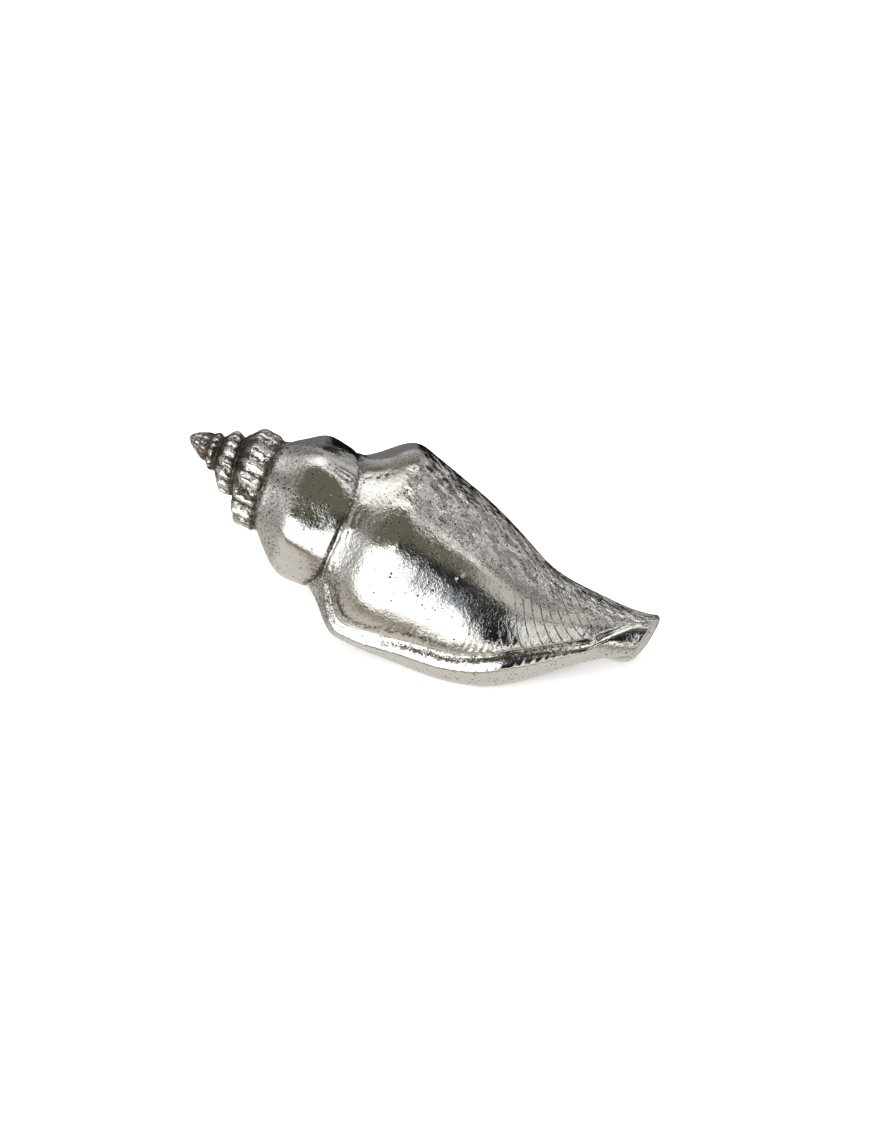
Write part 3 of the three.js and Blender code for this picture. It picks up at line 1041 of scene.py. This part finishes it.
@dataclass(frozen=True)
class WhiteMetal:
    """Polished white metal with cast pores, rippled patches, brown tarnish in its hollows, and painted dark
    reflections on some rippled flats and in a line below the lip's groove.
    """

    bright: tuple[float, ...] = (0.815, 0.80, 0.775, 1.0)
    # Dull metal colour; it also paints the darker rippled flats, which are painted reflection.
    dull: tuple[float, ...] = (0.42, 0.40, 0.385, 1.0)
    brown: tuple[float, ...] = (0.085, 0.062, 0.050, 1.0)
    dark: tuple[float, ...] = (0.022, 0.019, 0.017, 1.0)
    polish: float = 0.045
    pore_scale: float = 0.95
    pin_scale: float = 1.8
    cord_pitch: float = 0.044
    cord_turn: float = 1.25
    cord_width: float = 0.13
    cord_growth: float = 1.72
    flat_slope: float = 1.0
    flat_turn: float = 98.0
    flat_lean: tuple[float, float] = (0.91, 0.41)

    def material(self) -> bpy.types.Material:
        """Builds the material.

        Returns:
            The material: noise in millimetres on the piece's own coordinates and its coil map.
        """
        made = bpy.data.materials.new("polished_white_metal")
        made.use_nodes = True
        n = Nodes(made.node_tree)
        place = n.add("ShaderNodeTexCoord").out("Object")
        mm = n.add("ShaderNodeMapping", {}, {"Vector": place, "Scale": (1000.0,) * 3}).out()
        tarnish, hollow, rippled, matte, cords = (n.attribute(skin.value) for skin in Skin)

        cover = n.noise(mm, 0.2, 4.0, 0.6)
        cells = n.add("ShaderNodeTexVoronoi", {}, {"Vector": mm, "Scale": self.pore_scale})
        wanted = (n.channel(cells, 0) - (rippled * 0.3 + matte * 0.75)).step(0.20, 0.10)
        pore = cells.value("Distance").step(0.24, 0.13) * wanted * cover.step(0.34, 0.46)
        fine = n.add("ShaderNodeTexVoronoi", {}, {"Vector": mm, "Scale": self.pin_scale})
        wanted = (n.channel(fine, 1) - (rippled * 0.25 + matte * 0.7)).step(0.20, 0.10)
        pin = fine.value("Distance").step(0.36, 0.22) * wanted * cover.step(0.28, 0.46)

        facet, painted_reflection_flats = self.facets(n)
        line = self.lines(n) * cords * n.noise(mm, 1.3, 2.0, 0.6).step(0.36, 0.54)
        grain = n.noise(mm, 1.9, 3.0, 0.65)
        ripple = n.noise(mm, 0.55, 3.0, 0.55)
        grainy = (cover.step(0.35, 0.7) * 0.045 + 0.025) * (1.0 - rippled * 0.75)
        height = ripple * 0.05 * (1.0 - rippled * 0.6) + grain * grainy
        height = height + facet * rippled + n.noise(mm, 5.0, 2.0, 0.6) * (matte * 0.012 + 0.003)
        crust = n.noise(mm, 1.5, 3.0, 0.6) * (hollow * 0.12 + tarnish * 0.12)
        height = height + crust - pore * 0.05 - line * 0.06
        bump = n.add("ShaderNodeBump", {}, {"Height": height * MM, "Distance": 1.0, "Strength": 1.0})

        speck = n.noise(mm, 2.6, 3.0, 0.75)
        patch = n.noise(mm, 0.7, 2.0, 0.5)
        # The brown blend also paints a dark reflection in a line below the lip's groove, carried in with
        # the tarnish.
        stain_and_painted_reflection = (tarnish + speck * 2.2 + patch * 0.8 - 1.5).step(0.24, 0.66)
        stain_and_painted_reflection = (stain_and_painted_reflection * tarnish.step(0.02, 0.2) + hollow * 0.35 + line * 0.9).clamp()
        mottle = n.noise(mm, 2.4, 2.0, 0.7).step(0.36, 0.62)
        flecks = n.noise(mm, 3.4, 2.0, 0.7).step(0.38, 0.66)
        dulled_and_painted_reflection = cover.step(0.5, 0.8) * 0.25 + matte * (mottle * 0.7 + 0.2) + tarnish * mottle * 0.4
        # Rippled flats that the cells pick are painted darker here: painted reflection, standing in for the
        # dark of the room they would mirror.
        dulled_and_painted_reflection = dulled_and_painted_reflection + flecks * 0.22 + rippled * painted_reflection_flats * 0.85
        colour = n.blend(dulled_and_painted_reflection.clamp(), self.bright, self.dull)
        colour = n.blend(stain_and_painted_reflection * 0.96, colour, self.brown)
        colour = n.blend((pore + pin * 0.8).clamp(), colour, self.dark)
        smear = n.noise(mm, 1.1, 3.0, 0.6).step(0.45, 0.75)
        roughness = smear * 0.06 + self.polish + matte * 0.24 + stain_and_painted_reflection * 0.3 + pore * 0.3
        shader = n.add(
            "ShaderNodeBsdfPrincipled",
            {},
            {
                "Base Color": colour, "Roughness": (roughness + hollow * 0.2).clamp(),
                "Metallic": 1.0, "Normal": bump.out(),
            },
        )
        n.add("ShaderNodeOutputMaterial", {}, {"Surface": shader.out()})
        return made

    def facets(self, n: Nodes) -> tuple[Value, Value]:
        """Height in millimetres of small hammered flats, each tipped its own way, and which of them are
        painted darker as a reflection.

        They are cells on the coil map, drawn out along the axis and leaning to the lip; the height
        in a cell is its random slope times the way from its middle.

        Args:
            n: the material's nodes.

        Returns:
            The height, and 1 where a flat is painted darker: a painted reflection of a dark part of the
            room.
        """
        coil = n.coil()
        lengthwise, aside = self.flat_lean
        arc, along = coil.value(0) * self.flat_turn, coil.value(1) * DECIMETRE
        down, run = arc * lengthwise + along * aside, along * lengthwise - arc * aside
        where = n.add("ShaderNodeCombineXYZ", {}, {0: run * 0.55, 1: down * 1.25}).out()
        wander = n.add("ShaderNodeTexNoise", {}, {"Vector": where, "Scale": 1.6, "Detail": 2.0})
        bent = n.vector("ADD", where, wander.out("Color")).out()
        flat = {"voronoi_dimensions": "2D"}
        cells = n.add("ShaderNodeTexVoronoi", flat, {"Vector": bent, "Scale": 1.0})
        way = n.vector("SUBTRACT", bent, cells.out("Position")).out()
        slope = n.vector("SUBTRACT", cells.out("Color"), (0.5, 0.5, 0.5)).out()
        tip = n.vector("DOT_PRODUCT", way, slope).value("Value")
        return tip * self.flat_slope, n.channel(cells, 2).step(0.56, 0.64)

    def lines(self, n: Nodes) -> Value:
        """The fine spiral lines by the coil map: a bell at even steps of the coil's own growth."""
        coil = n.coil()
        inputs = {0: coil.value(1), 1: self.cord_growth}
        growth = n.add("ShaderNodeMath", {"operation": "LOGARITHM"}, inputs).value()
        phase = (growth + coil.value(0) * self.cord_turn) * (1.0 / self.cord_pitch)
        step = n.add("ShaderNodeMath", {"operation": "PINGPONG"}, {0: phase, 1: 0.5}).value()
        off = step * coil.value(1) * (DECIMETRE * self.cord_pitch * math.log(self.cord_growth))
        return off.step(self.cord_width * 1.6, self.cord_width * 0.5)


# ---------------------------------------------------------------- the studio


@dataclass(frozen=True)
class SoftBox:
    """A soft light: a lit rectangle that faces the shell."""

    name: str
    place: tuple[float, float, float]
    aim: tuple[float, float, float]
    wide: float
    high: float
    watts: float
    colour: tuple[float, float, float] = (1.0, 1.0, 1.0)

    def build(self) -> bpy.types.Object:
        """Makes the light, out of the camera's sight."""
        lamp = bpy.data.lights.new(self.name, "AREA")
        lamp.shape, lamp.size, lamp.size_y = "RECTANGLE", self.wide, self.high
        lamp.energy, lamp.color = self.watts, self.colour
        light = bpy.data.objects.new(self.name, lamp)
        light.location = self.place
        towards = Vector(self.aim) - Vector(self.place)
        light.rotation_mode = "QUATERNION"
        light.rotation_quaternion = towards.to_track_quat("-Z", "Y")
        light.visible_camera = False
        bpy.context.scene.collection.objects.link(light)
        return light


@dataclass(frozen=True)
class Patch:
    """A part of the room with its own brightness, with soft edges.

    Its span along is in shares of the mirrored direction's length, its band in degrees.
    """

    along: tuple[float, float]
    band: tuple[float, float]
    colour: tuple[float, float, float]
    soft_along: float = 0.06
    soft_band: float = 5.0

    def share(self, along: Value, band: Value) -> Value:
        """How much of the patch shows in a direction."""
        (low, high), soft = self.along, self.soft_along
        share = along.step(low - soft, low + soft) * along.step(high + soft, high - soft)
        (low, high), soft = self.band, self.soft_band
        return share * band.step(low - soft, low + soft) * band.step(high + soft, high - soft)


@dataclass
class Studio:
    """Pale floor, soft lights, the grey room round them, and the camera."""

    azimuth: float = 25.6
    elevation: float = 50.0
    distance: float = 0.565
    target: tuple[float, float, float] = (0.00064, 0.00757, 0.0019)
    lens: float = 100.0
    floor_size: float = 6.0
    floor_gap: float = 0.0001
    lamp: SoftBox = SoftBox("overhead", (-0.1, -0.2, 1.4), (0.0, 0.0, 0.0), 2.4, 2.4, 27.0)
    round_it: tuple[tuple[float, tuple[float, float, float]], ...] = (
        (-180.0, (0.70, 0.69, 0.68)), (-176.0, (0.70, 0.69, 0.68)), (-172.0, (0.19, 0.18, 0.18)),
        (-140.0, (0.19, 0.18, 0.18)), (-115.0, (0.74, 0.72, 0.69)), (-60.0, (0.72, 0.69, 0.63)),
        (-44.0, (0.60, 0.56, 0.49)), (-36.0, (0.26, 0.235, 0.19)), (-29.0, (0.26, 0.235, 0.19)),
        (-20.0, (1.3, 1.28, 1.22)), (-6.0, (2.0, 2.0, 1.97)), (52.0, (2.0, 2.0, 1.97)),
        (56.0, (0.155, 0.147, 0.112)), (92.0, (0.15, 0.142, 0.106)), (95.0, (1.35, 1.34, 1.32)),
        (124.0, (1.35, 1.33, 1.30)), (142.0, (0.62, 0.60, 0.58)), (170.0, (0.46, 0.445, 0.43)),
        (175.0, (0.06, 0.06, 0.06)), (180.0, (0.70, 0.69, 0.68)),
    )
    patches: tuple[Patch, ...] = (
        Patch((0.36, 0.78), (-12.0, 57.0), (0.016, 0.018, 0.022), 0.08),
        Patch((0.06, 0.78), (44.0, 62.0), (0.03, 0.03, 0.03), 0.08),
        Patch((0.28, 0.42), (20.0, 38.0), (0.30, 0.35, 0.40), 0.06, 8.0),
        Patch((0.50, 1.2), (100.0, 168.0), (0.82, 0.80, 0.77), 0.08),
        Patch((-0.86, -0.30), (150.0, 166.0), (0.14, 0.13, 0.10), 0.05, 2.0),
        Patch((-0.36, 0.07), (-176.0, -125.0), (0.006, 0.006, 0.006), 0.04),
        Patch((0.09, 1.2), (-200.0, -110.0), (0.64, 0.62, 0.60), 0.04),
        Patch((0.03, 1.2), (155.0, 200.0), (0.64, 0.62, 0.60)),
        Patch((0.60, 1.2), (62.0, 178.0), (0.62, 0.60, 0.57), 0.10, 8.0),
        Patch((0.82, 1.2), (-90.0, 178.0), (0.50, 0.48, 0.45)),
        Patch((-1.2, -0.85), (-200.0, 200.0), (0.44, 0.43, 0.42), 0.025),
        Patch((0.10, 0.92), (102.0, 112.0), (0.10, 0.095, 0.09), 0.08, 1.0),
        Patch((0.10, 0.92), (118.0, 130.0), (0.07, 0.066, 0.062), 0.08, 1.0),
        Patch((0.10, 0.92), (136.0, 146.0), (0.10, 0.095, 0.09), 0.08, 1.0),
    )

    def build(self) -> None:
        """Makes everything round the shell."""
        self.floor()
        self.room()
        self.lamp.build().visible_glossy = False
        self.camera()

    def floor(self) -> None:
        """A plain pale floor just under the shell, clear from below so that its opening can be seen."""
        half = 0.5 * self.floor_size
        mesh = bpy.data.meshes.new("floor")
        down = -self.floor_gap
        corners = [(-half, -half, down), (half, -half, down), (half, half, down), (-half, half, down)]
        mesh.from_pydata(corners, [], [(0, 1, 2, 3)])
        made = bpy.data.materials.new("pale_floor")
        made.use_nodes = True
        n = Nodes(made.node_tree)
        inputs = {
            "Base Color": (0.93, 0.92, 0.90, 1.0), "Roughness": 0.9, "Specular IOR Level": 0.1,
            "Emission Color": (1.0, 0.995, 0.985, 1.0), "Emission Strength": 0.35,
        }
        shader = n.add("ShaderNodeBsdfPrincipled", {}, inputs)
        clear = n.add("ShaderNodeBsdfTransparent")
        from_below = n.add("ShaderNodeNewGeometry").out("Backfacing")
        both = n.add("ShaderNodeMixShader", {}, {0: from_below, 1: shader.out(), 2: clear.out()})
        n.add("ShaderNodeOutputMaterial", {}, {"Surface": both.out()})
        mesh.materials.append(made)
        floor = bpy.data.objects.new("floor", mesh)
        bpy.context.scene.collection.objects.link(floor)
        floor.visible_glossy = False

    def room(self) -> None:
        """The room the metal mirrors: bands by the angle over the shell's length, and darker ends.

        The angle runs from the front side (0) over the top (90) to the far side (180).
        """
        world = bpy.data.worlds.new("studio_room")
        bpy.context.scene.world = world
        world.use_nodes = True
        n = Nodes(world.node_tree)
        parts = n.add("ShaderNodeSeparateXYZ", {}, {0: n.add("ShaderNodeTexCoord").out("Generated")})
        along = parts.value(0)
        up, across = parts.value(2), parts.value(1) * -1.0
        over = n.add("ShaderNodeMath", {"operation": "ARCTAN2"}, {0: up, 1: across})
        band = over.value() * (180.0 / math.pi)
        place = band * (1.0 / FULL_TURN) + 0.5
        colour = n.add("ShaderNodeValToRGB", {"stops": self.bands()}, {0: place}).out()
        for patch in self.patches:
            colour = n.blend(patch.share(along, band), colour, (*patch.colour, 1.0))
        seen = n.add("ShaderNodeLightPath").value("Is Camera Ray")
        colour = n.blend(seen, colour, (0.95, 0.95, 0.94, 1.0))
        shade = n.add("ShaderNodeBackground", {}, {"Color": colour, "Strength": 1.0})
        n.add("ShaderNodeOutputWorld", {}, {"Surface": shade.out()})

    def bands(self) -> list[tuple[float, tuple[float, ...]]]:
        """The bands as a ramp's stops, 0 to 1 for -180 to 180 degrees."""
        return [((angle + 180.0) / FULL_TURN, (*colour, 1.0)) for angle, colour in self.round_it]

    def camera(self) -> None:
        """The camera, looking down on the shell's back from the lip's side."""
        a, e = math.radians(self.azimuth), math.radians(self.elevation)
        back = Vector((math.sin(a) * math.cos(e), -math.cos(a) * math.cos(e), math.sin(e)))
        data = bpy.data.cameras.new("camera")
        data.lens, data.sensor_width, data.sensor_fit = self.lens, 36.0, "AUTO"
        data.clip_start, data.clip_end = 0.01, 50.0
        eye = bpy.data.objects.new("camera", data)
        eye.location = Vector(self.target) + back * self.distance
        eye.rotation_mode = "QUATERNION"
        eye.rotation_quaternion = (-back).to_track_quat("-Z", "Y")
        bpy.context.scene.collection.objects.link(eye)
        bpy.context.scene.camera = eye


def main() -> None:
    """Builds the studio and the shell."""
    logging.basicConfig(level=logging.INFO, format="%(name)s: %(message)s")
    scene = bpy.context.scene
    scene.view_settings.view_transform = "Standard"
    scene.view_settings.look = "None"
    Studio().build()
    LOG.info("studio: floor, lamp, room, camera")
    ConchShell().build()


if __name__ == "__main__":
    main()
